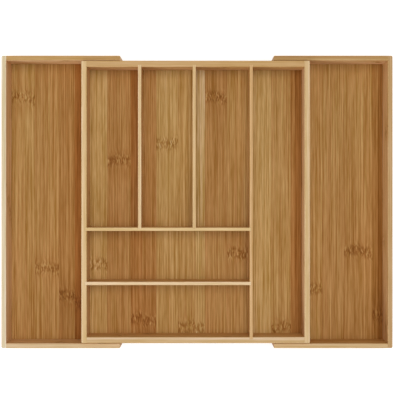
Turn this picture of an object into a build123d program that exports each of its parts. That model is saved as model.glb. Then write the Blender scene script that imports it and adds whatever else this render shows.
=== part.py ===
from build123d import *
import os

# An expanding cutlery tray: a centre tray with six slots, and a wing that slides out on each side.
# Millimetres. X runs across the tray, Y from front to back, Z up from the surface it stands on.
# The origin is under the middle of the centre tray.

# Slots of the centre tray, clear inside
left_slot_width = 75.0
middle_slot_width = 75.0
right_slot_width = 78.5
long_slot_width = 75.5
back_slot_length = 235.5
cross_slot_depth = 74.5
front_slot_depth = 76.0
slot_height = 52.0              # centre floor to rim

# Boards
centre_side_thickness = 8.0
centre_end_thickness = 9.0
centre_floor_thickness = 4.0
centre_floor_lip = 2.7          # wall left below the centre floor
divider_thickness = 5.0
wing_side_thickness = 7.0
wing_end_thickness = 7.0
wing_floor_thickness = 4.0
wing_floor_lip = 2.0            # wall left below a wing floor, down to the table
rim_step = 6.0                  # how far the wing rims lie below the centre tray's rim

# Joinery
finger_count = 5                # fingers in the height of a corner, an odd number
floor_groove_depth = 3.0
wall_housing_depth = 3.0        # for a divider's end in a wall
divider_housing_depth = 2.0     # for a divider's end in another divider
glue_line = 0.1
floor_play = 0.3                # between a floor's edge and the bottom of its groove

# Slides: a runner on each wing wall rides in a guide groove cut in the centre tray's end walls
guide_height = 7.0
guide_depth = 4.0
guide_clearance = 0.3
runner_length = 43.7
runner_housing_depth = 3.0
stop_gap = 0.3                  # between a runner and the groove's end with the wing right out

# Running gaps between the wings and the centre tray
end_gap = 1.0
under_gap = 0.3
closed_side_gap = 0.5
closed_middle_gap = 0.5         # from each wing to the tray's middle, with the wing pushed in

# Where the wings stand: how far each is short of right out
left_wing_short = 4.5
right_wing_short = 0.5

# Eased edges
rim_radius = 1.0
corner_radius = 2.0
base_radius = 0.6
runner_radius = 0.6
fillet_limit_share = 0.4        # most of a board's thickness that one eased edge may take

overrun = 1.0                   # how far a cut runs past the face that it opens


def span(start, length):
    """The low and high limits of a length that starts at a place."""
    return (start, start + length)


def centred(half, reach=0.0):
    """Limits that reach as far on both sides of the middle."""
    return (-half - reach, half + reach)


def grown(limits, play):
    """Limits moved apart by a play at each end."""
    return (limits[0] - play, limits[1] + play)


def block(x, y, z):
    """A box between its limits on the three axes."""
    corner = (Align.MIN, Align.MIN, Align.MIN)
    return Pos(x[0], y[0], z[0]) * Box(x[1] - x[0], y[1] - y[0], z[1] - z[0], align=corner)


def eased(solid, edges, radius, thickness):
    """Rounds edges by a radius that the board's thickness can take."""
    return fillet(edges, min(radius, fillet_limit_share * thickness))


# Heights
wing_floor_z = span(wing_floor_lip, wing_floor_thickness)
centre_base = wing_floor_z[1] + under_gap
centre_floor_z = span(centre_base + centre_floor_lip, centre_floor_thickness)
divider_z = span(centre_floor_z[1], slot_height)
centre_z = (centre_base, divider_z[1])
wing_z = (0, centre_z[1] - rim_step)

# Plan of the centre tray
inner_width = (
    left_slot_width + middle_slot_width + right_slot_width + long_slot_width + 3 * divider_thickness
)
inner_depth = back_slot_length + cross_slot_depth + front_slot_depth + 2 * divider_thickness
inner_half_width = inner_width / 2
inner_half_depth = inner_depth / 2
centre_half_width = inner_half_width + centre_side_thickness
centre_half_depth = inner_half_depth + centre_end_thickness

# Places of the dividers, from the left wall and from the front wall
short_left_x = span(-inner_half_width + left_slot_width, divider_thickness)
short_right_x = span(short_left_x[1] + middle_slot_width, divider_thickness)
long_x = span(short_right_x[1] + right_slot_width, divider_thickness)
cross_front_y = span(-inner_half_depth + front_slot_depth, divider_thickness)
cross_back_y = span(cross_front_y[1] + cross_slot_depth, divider_thickness)

# How far the dividers reach with their ends in their housings
long_housed_y = centred(inner_half_depth, wall_housing_depth)
cross_housed_x = (-inner_half_width - wall_housing_depth, long_x[0] + divider_housing_depth)
short_housed_y = (cross_back_y[1] - divider_housing_depth, inner_half_depth + wall_housing_depth)

# Plan of a wing, pushed in on the right
wing_end_x = closed_middle_gap
wing_inner_x = centre_half_width + closed_side_gap
wing_outer_x = wing_inner_x + wing_side_thickness
wing_inner_half_depth = centre_half_depth + end_gap
wing_outer_half_depth = wing_inner_half_depth + wing_end_thickness

# Guide grooves, level with the middle of the centre tray's walls
guide_middle = (centre_z[0] + centre_z[1]) / 2
guide_z = span(guide_middle - guide_height / 2, guide_height)
runner_x = span(wing_end_x, runner_length)
runner_z = grown(guide_z, -guide_clearance)

# Travel: a wing is right out when its runners reach the side walls that close the grooves
wing_travel = inner_half_width - runner_x[1] - stop_gap
left_wing_drawn = wing_travel - left_wing_short
right_wing_drawn = wing_travel - right_wing_short


def fingers(z, first):
    """The heights of every second corner finger, from the one numbered first."""
    pitch = (z[1] - z[0]) / finger_count
    return [span(z[0] + number * pitch, pitch) for number in range(first, finger_count, 2)]


def side_wall_space(x, y_between, y_through, z):
    """What a side wall fills: the stretch between the end walls and its own corner fingers."""
    space = block(x, grown(y_between, -glue_line), z)
    for finger_z in fingers(z, 0):
        space += block(x, y_through, finger_z)
    return space


def end_wall_space(x_between, x_through, y, z):
    """What an end wall fills: the stretch between the side walls and its own corner fingers."""
    space = block(x_between, y, z)
    for finger_z in fingers(z, 1):
        space += block(x_through, y, grown(finger_z, -glue_line))
    return space


# Centre tray
def centre_blank():
    """The four walls of the centre tray as one ring, with its edges eased as after sanding."""
    wall = min(centre_side_thickness, centre_end_thickness)
    ring = block(centred(centre_half_width), centred(centre_half_depth), centre_z)
    ring = eased(ring, ring.edges().filter_by(Axis.Z), corner_radius, wall)
    ring -= block(centred(inner_half_width), centred(inner_half_depth), grown(centre_z, overrun))
    ring = eased(ring, ring.edges().group_by(Axis.Z)[-1], rim_radius, wall)
    return eased(ring, ring.edges().group_by(Axis.Z)[0], base_radius, wall)


def centre_floor_space(reach, play):
    """The centre floor's board, or its groove, reaching into the four walls."""
    return block(
        centred(inner_half_width, reach), centred(inner_half_depth, reach), grown(centre_floor_z, play)
    )


def centre_floor():
    return centre_floor_space(floor_groove_depth - floor_play, 0)


def divider(x, y, housed_x, housed_y):
    """A board with its rim eased where it stands clear, and left square in its housings."""
    clear = block(x, y, divider_z)
    rims = clear.edges().group_by(Axis.Z)[-1].group_by(SortBy.LENGTH)[-1]
    tongues = block(housed_x, housed_y, divider_z) - clear
    return eased(clear, rims, rim_radius, divider_thickness) + tongues


def divider_housing(housed_x, housed_y):
    """The slot that a wall or another divider has for a divider's end."""
    return block(
        grown(housed_x, glue_line), grown(housed_y, glue_line), grown(divider_z, glue_line)
    )


def long_divider():
    """Runs from the front wall to the back wall, with housings for the two cross dividers."""
    board = divider(long_x, centred(inner_half_depth), long_x, long_housed_y)
    board -= divider_housing(cross_housed_x, cross_front_y)
    return board - divider_housing(cross_housed_x, cross_back_y)


def cross_divider(y):
    """Runs from the left wall to the long divider."""
    return divider((-inner_half_width, long_x[0]), y, cross_housed_x, y)


def cross_divider_back():
    """The cross divider that the two short dividers end in."""
    board = cross_divider(cross_back_y)
    board -= divider_housing(short_left_x, short_housed_y)
    return board - divider_housing(short_right_x, short_housed_y)


def short_divider(x):
    """Runs from the back cross divider to the back wall."""
    return divider(x, (cross_back_y[1], inner_half_depth), x, short_housed_y)


def guide_groove(side):
    """The groove in an end wall's outer face, closed at both ends by the side walls' fingers."""
    face = side * centre_half_depth
    y = sorted((face - side * guide_depth, face + side * overrun))
    return block(centred(inner_half_width), y, guide_z)


def centre_side_wall(ring, side):
    x = sorted((side * inner_half_width, side * centre_half_width))
    space = side_wall_space(x, centred(inner_half_depth), centred(centre_half_depth), centre_z)
    wall = ring & space
    wall -= centre_floor_space(floor_groove_depth, glue_line)
    if side < 0:
        wall -= divider_housing(cross_housed_x, cross_front_y)
        wall -= divider_housing(cross_housed_x, cross_back_y)
    return wall


def centre_end_wall(ring, side):
    y = sorted((side * inner_half_depth, side * centre_half_depth))
    x_between = grown(centred(inner_half_width), -glue_line)
    wall = ring & end_wall_space(x_between, centred(centre_half_width), y, centre_z)
    wall -= centre_floor_space(floor_groove_depth, glue_line)
    wall -= divider_housing(long_x, long_housed_y)
    if side > 0:
        wall -= divider_housing(short_left_x, short_housed_y)
        wall -= divider_housing(short_right_x, short_housed_y)
    return wall - guide_groove(side)


# A wing, made pushed in on the right
def wing_blank():
    """The three walls of a wing as one bent piece, with its edges eased as after sanding."""
    wall = min(wing_side_thickness, wing_end_thickness)
    bend = block((wing_end_x, wing_outer_x), centred(wing_outer_half_depth), wing_z)
    bend -= block(
        (wing_end_x - overrun, wing_inner_x), centred(wing_inner_half_depth), grown(wing_z, overrun)
    )
    bend = eased(bend, bend.edges().filter_by(Axis.Z).group_by(Axis.X)[-1], corner_radius, wall)
    bend = eased(bend, bend.edges().filter_by(Axis.Z).group_by(Axis.X)[0], rim_radius, wall)
    bend = eased(bend, bend.edges().group_by(Axis.Z)[-1], rim_radius, wall)
    return eased(bend, bend.edges().group_by(Axis.Z)[0], base_radius, wall)


def wing_floor_space(end_x, reach, play):
    """A wing's floor, or its groove, reaching into the three walls and open at the inner end."""
    return block(
        (end_x, wing_inner_x + reach), centred(wing_inner_half_depth, reach), grown(wing_floor_z, play)
    )


def wing_floor():
    return wing_floor_space(wing_end_x, floor_groove_depth - floor_play, 0)


def wing_runner(side):
    """A batten let into an end wall's inner face, standing out across the gap into the guide."""
    tip = side * (centre_half_depth - guide_depth + guide_clearance)
    root = side * (wing_inner_half_depth + runner_housing_depth - glue_line)
    batten = block(runner_x, sorted((tip, root)), runner_z)
    tip_edges = batten.edges().group_by(Axis.Y)[0 if side > 0 else -1]
    return eased(batten, tip_edges, runner_radius, guide_depth)


def runner_housing(side):
    face = side * wing_inner_half_depth
    y = sorted((face - side * overrun, face + side * runner_housing_depth))
    x = (runner_x[0] - overrun, runner_x[1] + glue_line)
    return block(x, y, grown(runner_z, glue_line))


def wing_side_wall(bend):
    x = (wing_inner_x, wing_outer_x)
    space = side_wall_space(
        x, centred(wing_inner_half_depth), centred(wing_outer_half_depth), wing_z
    )
    return (bend & space) - wing_floor_space(wing_end_x, floor_groove_depth, glue_line)


def wing_end_wall(bend, side):
    y = sorted((side * wing_inner_half_depth, side * wing_outer_half_depth))
    x_between = (wing_end_x, wing_inner_x - glue_line)
    wall = bend & end_wall_space(x_between, (wing_end_x, wing_outer_x), y, wing_z)
    wall -= wing_floor_space(wing_end_x - overrun, floor_groove_depth, glue_line)
    return wall - runner_housing(side)


def wing_pieces():
    """The six pieces of a wing by name."""
    bend = wing_blank()
    return {
        "side_wall": wing_side_wall(bend),
        "back_wall": wing_end_wall(bend, 1),
        "front_wall": wing_end_wall(bend, -1),
        "floor": wing_floor(),
        "back_runner": wing_runner(1),
        "front_runner": wing_runner(-1),
    }


def centre_pieces():
    """The ten pieces of the centre tray by name."""
    ring = centre_blank()
    return {
        "centre_left_wall": centre_side_wall(ring, -1),
        "centre_right_wall": centre_side_wall(ring, 1),
        "centre_back_wall": centre_end_wall(ring, 1),
        "centre_front_wall": centre_end_wall(ring, -1),
        "centre_floor": centre_floor(),
        "long_divider": long_divider(),
        "cross_divider_back": cross_divider_back(),
        "cross_divider_front": cross_divider(cross_front_y),
        "short_divider_left": short_divider(short_left_x),
        "short_divider_right": short_divider(short_right_x),
    }


pieces = centre_pieces()
for name, piece in wing_pieces().items():
    pieces["right_wing_" + name] = Pos(right_wing_drawn, 0, 0) * piece
    pieces["left_wing_" + name] = Pos(-left_wing_drawn, 0, 0) * mirror(piece, about=Plane.YZ)

os.makedirs("parts", exist_ok=True)
for name, piece in pieces.items():
    export_step(piece, f"parts/{name}.step")

print("closed width", 2 * wing_outer_x, "open width", 2 * (wing_outer_x + wing_travel))
print("depth", 2 * wing_outer_half_depth, "height", centre_z[1], "travel", wing_travel)
print("left wing drawn", left_wing_drawn, "right wing drawn", right_wing_drawn)
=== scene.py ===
import bpy
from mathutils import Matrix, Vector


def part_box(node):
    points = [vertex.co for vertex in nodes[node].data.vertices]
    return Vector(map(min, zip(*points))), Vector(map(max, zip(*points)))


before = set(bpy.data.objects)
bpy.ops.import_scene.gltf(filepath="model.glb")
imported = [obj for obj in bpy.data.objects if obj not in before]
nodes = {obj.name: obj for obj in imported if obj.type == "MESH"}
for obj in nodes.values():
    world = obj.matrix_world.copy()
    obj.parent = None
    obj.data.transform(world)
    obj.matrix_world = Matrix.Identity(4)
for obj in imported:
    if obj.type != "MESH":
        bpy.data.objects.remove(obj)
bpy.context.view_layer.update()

scene = bpy.context.scene
scene.view_settings.view_transform = "Standard"


# Camera: straight down from above the tray's middle, as in the photograph. The focal length is
# counted in the picture's pixels, and the shift stands for the way that the picture was cropped.
EYE = (0.007, 0.016, 1.9)
SENSOR_WIDTH = 36.0
PICTURE_WIDTH = 400
FOCAL_PIXELS = 1252.6
PICTURE_SHIFT_X = -0.001
PICTURE_SHIFT_Y = -0.0225


def make_camera():
    data = bpy.data.cameras.new("camera")
    data.sensor_width = SENSOR_WIDTH
    data.lens = SENSOR_WIDTH * FOCAL_PIXELS / PICTURE_WIDTH
    data.shift_x = PICTURE_SHIFT_X
    data.shift_y = PICTURE_SHIFT_Y
    camera = bpy.data.objects.new("camera", data)
    camera.location = EYE
    scene.collection.objects.link(camera)
    scene.camera = camera


# Nodes. A share and a noise both run from 0 to 1.
MIDDLE = 0.5
USUAL_NOISE = (0.3, 0.7)        # where most of a noise lies

# The Mix node's sockets, which share their names and so are told apart by their numbers
MIX_NUMBERS = (2, 3)
MIX_COLOURS = (6, 7)
MIXED_COLOUR = 2


class Nodes:
    """Builds the nodes of one material or world."""

    def __init__(self, owner):
        owner.use_nodes = True
        self.tree = owner.node_tree
        self.tree.nodes.clear()

    def add(self, kind, inputs=(), **settings):
        """A new node. A number or colour given for a socket is set there, and an output is linked."""
        node = self.tree.nodes.new("ShaderNode" + kind)
        for name, value in settings.items():
            setattr(node, name, value)
        for socket, value in dict(inputs).items():
            if isinstance(value, bpy.types.NodeSocket):
                self.tree.links.new(value, node.inputs[socket])
            else:
                node.inputs[socket].default_value = value
        return node

    def math(self, operation, *values):
        return self.add("Math", enumerate(values), operation=operation).outputs[0]

    def times(self, first, second):
        return self.math("MULTIPLY", first, second)

    def over(self, first, second):
        return self.math("DIVIDE", first, second)

    def plus(self, first, second):
        return self.math("ADD", first, second)

    def minus(self, first, second):
        return self.math("SUBTRACT", first, second)

    def centred(self, value):
        """A share or a noise moved to lie around 0."""
        return self.minus(value, MIDDLE)

    def ease(self, value, start, end):
        """0 at start and before it, 1 at end and after it, and a soft change between them."""
        inputs = {"Value": value, "From Min": start, "From Max": end}
        return self.add("MapRange", inputs, interpolation_type="SMOOTHSTEP").outputs[0]

    def spread(self, value, limits):
        """A noise value drawn out so that its usual range runs from one limit to the other."""
        from_low, from_high = USUAL_NOISE
        to_low, to_high = limits
        return self.add("MapRange", {
            "Value": value,
            "From Min": from_low,
            "From Max": from_high,
            "To Min": to_low,
            "To Max": to_high,
        }).outputs[0]

    def mix(self, share, first, second):
        """Two numbers mixed."""
        inputs = {"Factor": share, **dict(zip(MIX_NUMBERS, (first, second)))}
        return self.add("Mix", inputs, data_type="FLOAT").outputs[0]

    def blend(self, share, first, second, blend_type="MIX"):
        """Two colours mixed, or the first changed by the second."""
        inputs = {"Factor": share, **dict(zip(MIX_COLOURS, (first, second)))}
        node = self.add("Mix", inputs, data_type="RGBA", blend_type=blend_type)
        return node.outputs[MIXED_COLOUR]

    def ramp(self, value, stops, interpolation="LINEAR"):
        """The colour and alpha at value, from stops of (place, colour with alpha)."""
        node = self.add("ValToRGB", {"Fac": value})
        node.color_ramp.interpolation = interpolation
        elements = node.color_ramp.elements
        elements.remove(elements[1])
        for number, (place, colour) in enumerate(stops):
            element = elements.new(place) if number else elements[0]
            element.position = place
            element.color = colour
        return node.outputs

    def noise(self, x, y, z, detail=0.0):
        """Smooth noise around 0.5 with one bump to each unit."""
        place = self.add("CombineXYZ", {"X": x, "Y": y, "Z": z}).outputs[0]
        return self.add("TexNoise", {"Vector": place, "Scale": 1.0, "Detail": detail}).outputs[0]

    def chance(self, x, y):
        """Three numbers drawn at random, each from 0 to 1, for a pair of numbers."""
        place = self.add("CombineXYZ", {"X": x, "Y": y}).outputs[0]
        return self.parts(self.add("TexWhiteNoise", {"Vector": place}).outputs["Color"])

    def parts(self, vector):
        """The three numbers of a vector or colour, by axis."""
        node = self.add("SeparateXYZ", {"Vector": vector})
        return {axis: node.outputs[axis] for axis in "XYZ"}


# Light: a soft lamp overhead, long from front to back, a weak and low one from the front left that
# reaches the walls, and an even white surround. Neither lamp shows in the lacquer.
LAMPS = {
    "overhead_lamp": ((0.15, 0.35, 5.0), (2.0, 3.0), 122),
    "fill_lamp": ((-2.6, -3.4, 1.8), (1.6, 1.6), 54),
}
SURROUND_STRENGTH = 0.47
FLOOR_HALF = 6.0
FLOOR_GREY = 0.8
FLOOR_LIFT = (0.45, 0.7)        # glow seen by the camera and reflections, so that the floor is white
LIFT_REACH = (0.8, 2.5)         # near the tray and far off, where the lamps' light ends
WHITE = (1, 1, 1, 1)


def seen_directly(g):
    """1 where the camera or a reflection looks at the surface, and 0 where it only gives light."""
    paths = g.add("LightPath").outputs
    return g.math("MAXIMUM", paths["Is Camera Ray"], paths["Is Glossy Ray"])


def make_lamp(name, place, size, power):
    data = bpy.data.lights.new(name, "AREA")
    data.shape = "ELLIPSE"
    data.size, data.size_y = size
    data.energy = power
    lamp = bpy.data.objects.new(name, data)
    lamp.location = place
    lamp.rotation_euler = (-lamp.location).to_track_quat("-Z", "Y").to_euler()
    lamp.visible_glossy = False
    scene.collection.objects.link(lamp)


def make_surround():
    scene.world = bpy.data.worlds.new("surround")
    g = Nodes(scene.world)
    strength = g.add("MapRange", {"Value": seen_directly(g), "To Min": SURROUND_STRENGTH}).outputs[0]
    background = g.add("Background", {"Color": WHITE, "Strength": strength}).outputs[0]
    g.add("OutputWorld", {"Surface": background})


def make_floor():
    mesh = bpy.data.meshes.new("studio_floor")
    corners = [(x * FLOOR_HALF, y * FLOOR_HALF, 0) for x, y in ((-1, -1), (1, -1), (1, 1), (-1, 1))]
    mesh.from_pydata(corners, [], [range(len(corners))])
    floor = bpy.data.objects.new("studio_floor", mesh)
    scene.collection.objects.link(floor)
    material = bpy.data.materials.new("studio_floor")
    g = Nodes(material)
    paper = g.add("BsdfDiffuse", {"Color": (FLOOR_GREY, FLOOR_GREY, FLOOR_GREY, 1)}).outputs[0]
    place = g.add("TexCoord").outputs["Object"]
    away = g.add("VectorMath", {"Vector": place}, operation="LENGTH").outputs["Value"]
    lift = g.mix(g.ease(away, *LIFT_REACH), *FLOOR_LIFT)
    glow = g.add("Emission", {"Strength": g.times(lift, seen_directly(g))}).outputs[0]
    both = g.add("AddShader", {0: paper, 1: glow}).outputs[0]
    g.add("OutputMaterial", {"Surface": both})
    mesh.materials.append(material)


# Bamboo. Every board is glued up from strips cut along the grain. Lengths are in millimetres.
MM_PER_METRE = 1000

# From the darkest caramel, through the floor's colours, to the palest sawn edge
BAMBOO_COLOURS = (
    (0.00, (0.16, 0.052, 0.007, 1)),
    (0.20, (0.27, 0.10, 0.016, 1)),
    (0.35, (0.34, 0.145, 0.032, 1)),
    (0.50, (0.418, 0.208, 0.057, 1)),
    (0.60, (0.465, 0.262, 0.077, 1)),
    (0.70, (0.520, 0.315, 0.100, 1)),
    (0.80, (0.57, 0.365, 0.145, 1)),
    (0.90, (0.66, 0.458, 0.23, 1)),
    (1.00, (0.76, 0.56, 0.33, 1)),
)
# Partly painted light: the faces are redder partly in their own colour and partly as painted warm
# light bounced from the floors.
WALL_FACE_AND_BOUNCE_TINT = (1.08, 0.96, 0.82, 1)      # the walls' faces are redder than their sawn edges
OLIVE_TINT = (0.955, 1.025, 1.06, 1)        # of a floor strip whose rust is 0
RUSTY_TINT = (1.045, 0.975, 0.94, 1)        # and of one whose rust is 1
# Painted light: the floors are painted greener at the back and redder at the front, for the colour of
# the light that falls there.
PAINTED_LIGHT_HUE = (-0.15, 0.10)                 # added to each strip's rust, at the back and at the front

# The streaks in the grain: how wide each is, how long, and how much it changes the tone
STREAKS = (
    (10.0, 110, 0.04),
    (3.4, 180, 0.09),
    (1.8, 150, 0.30),
)
STREAK_DETAIL = 1.0

# The fine fibres, dark and warm or light and pale: their width, length and weight
FIBRES = (
    (1.8, 320, 0.55),
    (1.8, 90, 0.70),
    (1.6, 22, 0.38),
)
FIBRE_DARK = (0.75, 0.68, 0.46, 1)
FIBRE_PALE = (1.23, 1.32, 1.73, 1)

# A knuckle, the ring where the stalk had a joint
KNUCKLE_REACH = 20              # the fibres bend this far from it
KNUCKLE_HALF = 12               # and break up into dark pockets this far from it
KNUCKLE_CORE = 4                # which are all there this far from it
POCKET_WIDTH = 1.7
POCKET_LENGTH = 7.0
POCKET_EDGE = (0.55, 0.41)      # the noise at a pocket's rim and inside it
POCKET_TINT = (0.66, 0.54, 0.36, 1)
GLINT_EDGE = (0.56, 0.70)
GLINT_TONE = 0.16
BEND_SIZE = 9
BEND = 5
WAVE_SIZE = 16                  # the row of pockets waves up and down across the strip
WAVE = 16
RING_HALF = 1.0
RING_TONE = 0.06
HALO_REACH = 45                 # the wood is darker this far from a knuckle
HALO_TONE = 0.05
GRAIN_JUMP = 4                  # how far the streaks change from one side of a knuckle to the other
KNUCKLE_SPACING = 290           # from one to the next on the walls' strips
NO_KNUCKLE = 1000               # added to the distance on an edge, where none shows

# Glue lines between the strips
SEAM_HALF = 0.35
SEAM_TONES = (0.04, 0.26)       # they come and go along the board
SEAM_PATCH = 55

# The walls' strips, which differ a little at random, and the layers seen on their sawn edges
WALL_STRIP = 20.5
WALL_STRIP_TONES = 0.14
WALL_STRIP_STEP = 0.37          # how far each board's strips are moved on from the last board's
PLY = 2.6
PLY_TONES = 0.08
PLY_STEP = 0.41
EDGE_CALM = 0.6                 # share by which the grain is fainter on an edge

# End grain is darker, with the dots of the cut fibres
END_DOT = 1.1
END_DOT_EDGE = (0.45, 0.15)
END_TONE = -0.10
END_DOT_TONE = 0.3

# How far a surface faces along the grain to count as its end, and across it to count as an edge
END_FACING = (0.6, 0.85)
EDGE_FACING = (0.5, 0.85)

# Satin lacquer: specular level, and the least and most roughness
FLOOR_LACQUER = (0.2, (0.42, 0.62))
WALL_LACQUER = (0.15, (0.42, 0.6))
GLOSS_WIDTH = 3
GLOSS_LENGTH = 60
GLOSS_DETAIL = 2.0
BUMP_HEIGHT = 0.00015
BUMP_STRENGTH = 0.5

# Steps between the random patterns of the boards and their strips
BOARD_STEP = 7.3
STRIP_STEP = 410
FIBRE_STEP = 23

# Along, across and through the board
FLOOR_GRAIN = "YXZ"
SIDE_GRAIN = "YZX"
END_GRAIN = "XZY"

# The floors' strips from left to right: right edge, tones at the back and at the front, rust, and
# the place of the strip's knuckle. Two rows with the same knuckle are one strip that changes tone.
CENTRE_STRIPS = (
    (-134, 0.67, 0.68, 0.55, -97),
    (-98, 0.49, 0.51, 0.55, 64),
    # Partly painted shade: a redder strip, whose back half beside the left short divider is also
    # painted darker for the shade there.
    (-82, 0.28, 0.47, 0.95, -174),
    (-60, 0.50, 0.45, 0.70, -181),
    (-27, 0.69, 0.59, 0.45, 89),
    (-2, 0.63, 0.60, 0.45, -187),
    (13, 0.80, 0.65, 0.30, -195),
    (46, 0.49, 0.54, 0.50, 157),
    (82, 0.55, 0.56, 0.50, -77),
    (114, 0.68, 0.69, 0.40, -255),
    (142, 0.54, 0.58, 0.30, -190),
    (149.5, 0.40, 0.38, 0.50, -250),
    # Partly painted shade: a dark strip of its own, painted darker still beside the centre's right
    # wall for the shade there.
    (170, 0.22, 0.30, 0.50, 250),
)
LEFT_WING_STRIPS = (
    (-243, 0.60, 0.53, 0.50, 156),
    (-207, 0.50, 0.54, 0.45, -100),
    (-183, 0.41, 0.42, 0.25, -144),
    # Painted shadow: this strip beside the centre tray's left wall is painted dark for the shadow that
    # the wall casts on it.
    (-160, 0.24, 0.23, 0.90, -152),
    (-120, 0.50, 0.50, 0.50, 60),
    (-80, 0.44, 0.44, 0.50, 230),
    (0, 0.55, 0.55, 0.50, -30),
)
RIGHT_WING_STRIPS = (
    (80, 0.50, 0.50, 0.50, 80),
    (120, 0.42, 0.42, 0.50, -30),
    (155, 0.56, 0.56, 0.50, 210),
    (191, 0.53, 0.58, 0.45, -132),
    (224, 0.52, 0.47, 0.30, 250),
    (267, 0.52, 0.47, 0.35, -76),
    # Painted shade: the wing's last strip is split in two, the part nearest the side wall darker, for
    # the shade beside the wall.
    (275, 0.39, 0.35, 0.15, -173),
    (300, 0.24, 0.22, 0.15, -173),
)
BACK_AND_FRONT = (180, -160)    # where the strips have those two tones
KNUCKLE_RANGE = 520
KNUCKLE_STEP = 0.01             # where the knuckle's place steps by more than this share is a seam


def floor_strips(g, along, across, low, high, strips):
    """The strip at a place on a floor, whose left and right edges are low and high.

    Gives its tone, its tint with the painted light's hue (greener at the back, redder at the front),
    the distance from its knuckle, a number of its own, and 1 on a seam.
    """
    starts = (low, *(right_edge for right_edge, *_ in strips))
    stops = []
    for start, (_, at_back, at_front, rust, knuckle) in zip(starts, strips):
        place = max(0, (start - low) / (high - low))
        stops.append((place, (at_back, at_front, knuckle / KNUCKLE_RANGE + MIDDLE, rust)))

    def strip_at(place):
        found = g.ramp(g.over(g.minus(place, low), high - low), stops, "CONSTANT")
        return g.parts(found["Color"]), found["Alpha"]

    here, rust = strip_at(across)
    before, _ = strip_at(g.minus(across, SEAM_HALF))
    after, _ = strip_at(g.plus(across, SEAM_HALF))
    step = g.math("ABSOLUTE", g.minus(after["Z"], before["Z"]))
    seam = g.math("GREATER_THAN", step, KNUCKLE_STEP)
    front_share = g.ease(along, *BACK_AND_FRONT)
    tone = g.mix(front_share, here["X"], here["Y"])
    tint = g.blend(g.plus(rust, g.mix(front_share, *PAINTED_LIGHT_HUE)), OLIVE_TINT, RUSTY_TINT)
    knuckle = g.times(g.centred(here["Z"]), KNUCKLE_RANGE)
    return tone, tint, g.minus(along, knuckle), here["Z"], seam


def wall_strips(g, along, across, tone, seed):
    """The same for a wall, whose strips are all as wide and have knuckles evenly apart."""
    counted = g.plus(g.over(across, WALL_STRIP), seed * WALL_STRIP_STEP)
    drawn = g.chance(g.math("FLOOR", counted), seed)
    strip_tone = g.plus(tone, g.times(g.centred(drawn["X"]), WALL_STRIP_TONES))
    from_first = g.minus(along, g.times(drawn["Y"], KNUCKLE_SPACING))
    from_knuckle = g.math("WRAP", from_first, -KNUCKLE_SPACING / 2, KNUCKLE_SPACING / 2)
    part = g.math("FRACT", counted)
    seam = g.math("LESS_THAN", g.math("MINIMUM", part, g.minus(1.0, part)), SEAM_HALF / WALL_STRIP)
    return strip_tone, WALL_FACE_AND_BOUNCE_TINT, from_knuckle, drawn["Z"], seam


def streaked(g, place, width, length, seed, detail=0.0):
    """Noise drawn out along the grain."""
    along, across, through = place
    x = g.plus(g.over(across, width), seed)
    y = g.plus(g.over(along, length), seed)
    return g.noise(x, y, g.over(through, width), detail)


def grain(g, place, from_knuckle, seed):
    """How much the grain changes the tone at a place, how it tints it, and the fibres there."""
    along, across, through = place
    wave = g.centred(g.noise(g.over(across, WAVE_SIZE), seed, 0.0))
    distance = g.math("ABSOLUTE", g.plus(from_knuckle, g.times(wave, WAVE)))
    bend_share = g.ease(distance, KNUCKLE_REACH, 0.0)
    bend = g.centred(g.noise(g.over(across, BEND_SIZE), g.over(along, BEND_SIZE), seed))
    swayed = g.plus(across, g.times(g.times(bend, BEND), bend_share))
    side = g.times(g.ease(from_knuckle, -KNUCKLE_REACH, KNUCKLE_REACH), GRAIN_JUMP)
    beside = (along, swayed, through)

    tone = 0.0
    for width, length, weight in STREAKS:
        streak = streaked(g, beside, width, length, g.plus(seed, side), STREAK_DETAIL)
        tone = g.plus(tone, g.times(g.centred(streak), weight))
    fibres = MIDDLE
    for number, (width, length, weight) in enumerate(FIBRES, 1):
        fibre = streaked(g, beside, width, length, g.plus(seed, number * FIBRE_STEP), STREAK_DETAIL)
        fibres = g.plus(fibres, g.times(g.centred(fibre), weight))

    pockets = streaked(g, beside, POCKET_WIDTH, POCKET_LENGTH, seed, STREAK_DETAIL)
    knuckle_share = g.ease(distance, KNUCKLE_HALF, KNUCKLE_CORE)
    pocket = g.times(g.ease(pockets, *POCKET_EDGE), knuckle_share)
    glint = g.times(g.ease(pockets, *GLINT_EDGE), knuckle_share)
    tone = g.plus(tone, g.times(glint, GLINT_TONE))
    ring_place = g.math("ABSOLUTE", g.plus(from_knuckle, g.times(bend, BEND)))
    ring = g.times(g.ease(ring_place, RING_HALF, 0.0), RING_TONE)
    halo = g.times(g.ease(distance, HALO_REACH, 0.0), HALO_TONE)
    tint = g.blend(g.spread(fibres, (0, 1)), FIBRE_DARK, FIBRE_PALE)
    tint = g.blend(1.0, tint, g.blend(pocket, WHITE, POCKET_TINT), "MULTIPLY")
    return g.minus(tone, g.plus(ring, halo)), tint, fibres


def end_grain(g, place, tone):
    """The tone of a board's sawn end."""
    _, across, through = place
    spot = g.add("CombineXYZ", {"X": g.over(across, END_DOT), "Y": g.over(through, END_DOT)})
    from_middle = g.add("TexVoronoi", {"Vector": spot.outputs[0], "Scale": 1.0}).outputs["Distance"]
    dot = g.times(g.ease(from_middle, *END_DOT_EDGE), END_DOT_TONE)
    return g.minus(g.plus(tone, END_TONE), dot)


def sawn_edge(g, through, limits, tone, shade_lean, seed):
    """The tone of a board's sawn edge, with its layers, and painted shade that makes it lighter on one
    side than the other, for the light on its rounded arrises.
    """
    low, high = limits
    side = g.centred(g.over(g.minus(through, low), high - low))
    layer = g.math("FLOOR", g.plus(g.over(through, PLY), seed * PLY_STEP))
    ply = g.times(g.centred(g.chance(layer, seed)["X"]), PLY_TONES)
    return g.plus(g.plus(ply, tone), g.times(side, shade_lean))


def extent(name, axis):
    """Where a board begins and ends along an axis."""
    number = "XYZ".index(axis)
    return [corner[number] * MM_PER_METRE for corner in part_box(name)]


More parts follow.
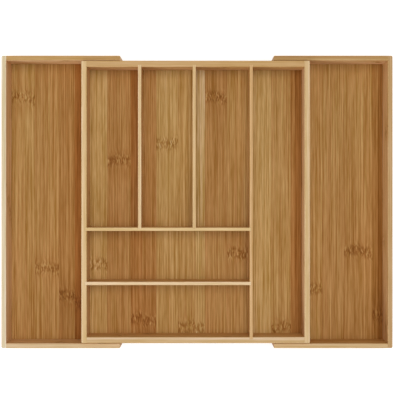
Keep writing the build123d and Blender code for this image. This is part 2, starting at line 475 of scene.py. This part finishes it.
def bamboo(name, grain_axes, face_tone, edge_tone, edge_shade_lean, edge_tint, seed, strips=None):
    """The material of one board, whose strips are given for a floor and drawn at random for a wall."""
    material = bpy.data.materials.new(name)
    g = Nodes(material)
    coordinates = g.add("TexCoord").outputs
    scaling = {"Vector": coordinates["Object"], "Scale": MM_PER_METRE}
    places = g.parts(g.add("VectorMath", scaling, operation="SCALE").outputs[0])
    place = [places[axis] for axis in grain_axes]
    along, across, through = place

    along_axis, across_axis, through_axis = grain_axes
    facing = g.parts(coordinates["Normal"])
    end_share = g.ease(g.math("ABSOLUTE", facing[along_axis]), *END_FACING)
    edge_share = g.ease(g.math("ABSOLUTE", facing[across_axis]), *EDGE_FACING)

    if strips:
        strip = floor_strips(g, along, across, *extent(name, across_axis), strips)
        specular, roughness_limits = FLOOR_LACQUER
    else:
        strip = wall_strips(g, along, across, face_tone, seed)
        specular, roughness_limits = WALL_LACQUER
    strip_tone, face_and_light_tint, from_knuckle, number, seam = strip
    strip_seed = g.plus(g.times(number, STRIP_STEP), seed * BOARD_STEP)
    from_knuckle = g.plus(from_knuckle, g.times(edge_share, NO_KNUCKLE))
    change, tint, fibres = grain(g, place, from_knuckle, strip_seed)
    calm = g.minus(1.0, g.times(edge_share, EDGE_CALM))

    edge = sawn_edge(g, through, extent(name, through_axis), edge_tone, edge_shade_lean, seed)
    patches = g.noise(g.over(along, SEAM_PATCH), strip_seed, 0.0)
    seam_tone = g.times(seam, g.spread(patches, SEAM_TONES))
    sides = g.minus(g.mix(edge_share, strip_tone, edge), seam_tone)
    toned = g.plus(sides, g.times(change, calm))
    tone = g.mix(end_share, toned, end_grain(g, place, strip_tone))
    board_tint = g.blend(edge_share, face_and_light_tint, (*edge_tint, 1))
    grain_tint = g.blend(g.times(calm, g.minus(1.0, end_share)), WHITE, tint)
    colour = g.ramp(tone, BAMBOO_COLOURS)["Color"]
    colour = g.blend(1.0, colour, board_tint, "MULTIPLY")
    colour = g.blend(1.0, colour, grain_tint, "MULTIPLY")

    gloss = streaked(g, place, GLOSS_WIDTH, GLOSS_LENGTH, strip_seed, GLOSS_DETAIL)
    bump = g.add("Bump", {"Strength": BUMP_STRENGTH, "Distance": BUMP_HEIGHT, "Height": fibres})
    shader = g.add("BsdfPrincipled", {
        "Base Color": colour,
        "Roughness": g.spread(gloss, roughness_limits),
        "Specular IOR Level": specular,
        "Normal": bump.outputs[0],
    })
    g.add("OutputMaterial", {"Surface": shader.outputs[0]})
    return material


PLAIN = (1, 1, 1)               # the tint that changes nothing

# Each board's grain, the tone of its faces, the tone of its edges, how much lighter these are on the
# right or at the back of the board than on its other side, and their tint. The face tones are partly
# the boards' own and partly painted light: the back walls' faces are painted paler and the front
# walls' faces darker, for the light that falls on them. The lean is painted shade across the sawn
# edge, for the light on its rounded arrises.
BOARDS = {
    "centre_left_wall": (SIDE_GRAIN, 0.83, 0.92, -0.16, (1, 1.0, 0.97)),
    "centre_right_wall": (SIDE_GRAIN, 1.0, 0.88, 0.08, (1, 1.02, 1.07)),
    "centre_back_wall": (END_GRAIN, 0.84, 0.735, 0.04, (1, 0.99, 1.14)),
    "centre_front_wall": (END_GRAIN, 0.72, 0.835, 0.12, (1, 1.03, 1.21)),
    "long_divider": (SIDE_GRAIN, 0.80, 0.86, -0.03, (1, 0.93, 0.92)),
    "short_divider_left": (SIDE_GRAIN, 0.80, 0.925, 0, PLAIN),
    "short_divider_right": (SIDE_GRAIN, 0.80, 0.86, 0.04, PLAIN),
    "cross_divider_back": (END_GRAIN, 0.78, 0.91, 0, (1, 0.99, 0.88)),
    "cross_divider_front": (END_GRAIN, 0.78, 0.995, 0, PLAIN),
    "left_wing_side_wall": (SIDE_GRAIN, 1.0, 0.945, 0.06, (1, 1.15, 1.36)),
    "left_wing_back_wall": (END_GRAIN, 1.0, 0.675, -0.06, (1, 1.015, 1.19)),
    "left_wing_front_wall": (END_GRAIN, 0.86, 0.875, 0.12, (1, 1.03, 1.18)),
    "left_wing_back_runner": (END_GRAIN, 0.80, 0.75, 0, PLAIN),
    "left_wing_front_runner": (END_GRAIN, 0.80, 0.75, 0, PLAIN),
    "right_wing_side_wall": (SIDE_GRAIN, 0.89, 0.665, -0.06, (1, 1.06, 1.56)),
    "right_wing_back_wall": (END_GRAIN, 0.93, 0.58, -0.06, (1, 1.10, 1.42)),
    "right_wing_front_wall": (END_GRAIN, 0.68, 0.78, 0.12, (1, 1.04, 1.23)),
    "right_wing_back_runner": (END_GRAIN, 0.80, 0.75, 0, PLAIN),
    "right_wing_front_runner": (END_GRAIN, 0.80, 0.75, 0, PLAIN),
}
FLOORS = {
    "centre_floor": CENTRE_STRIPS,
    "left_wing_floor": LEFT_WING_STRIPS,
    "right_wing_floor": RIGHT_WING_STRIPS,
}
FLOOR_TONE = 0.5                # of a floor's hidden edges, as its strips have their own tones


def dress(name, material):
    slots = nodes[name].data.materials
    slots.clear()
    slots.append(material)


make_camera()
for name, (place, size, power) in LAMPS.items():
    make_lamp(name, place, size, power)
make_surround()
make_floor()
for seed, (name, looks) in enumerate(BOARDS.items(), 1):
    dress(name, bamboo(name, *looks, seed))
for seed, (name, strips) in enumerate(FLOORS.items(), 1 + len(BOARDS)):
    dress(name, bamboo(name, FLOOR_GRAIN, FLOOR_TONE, FLOOR_TONE, 0, PLAIN, seed, strips))
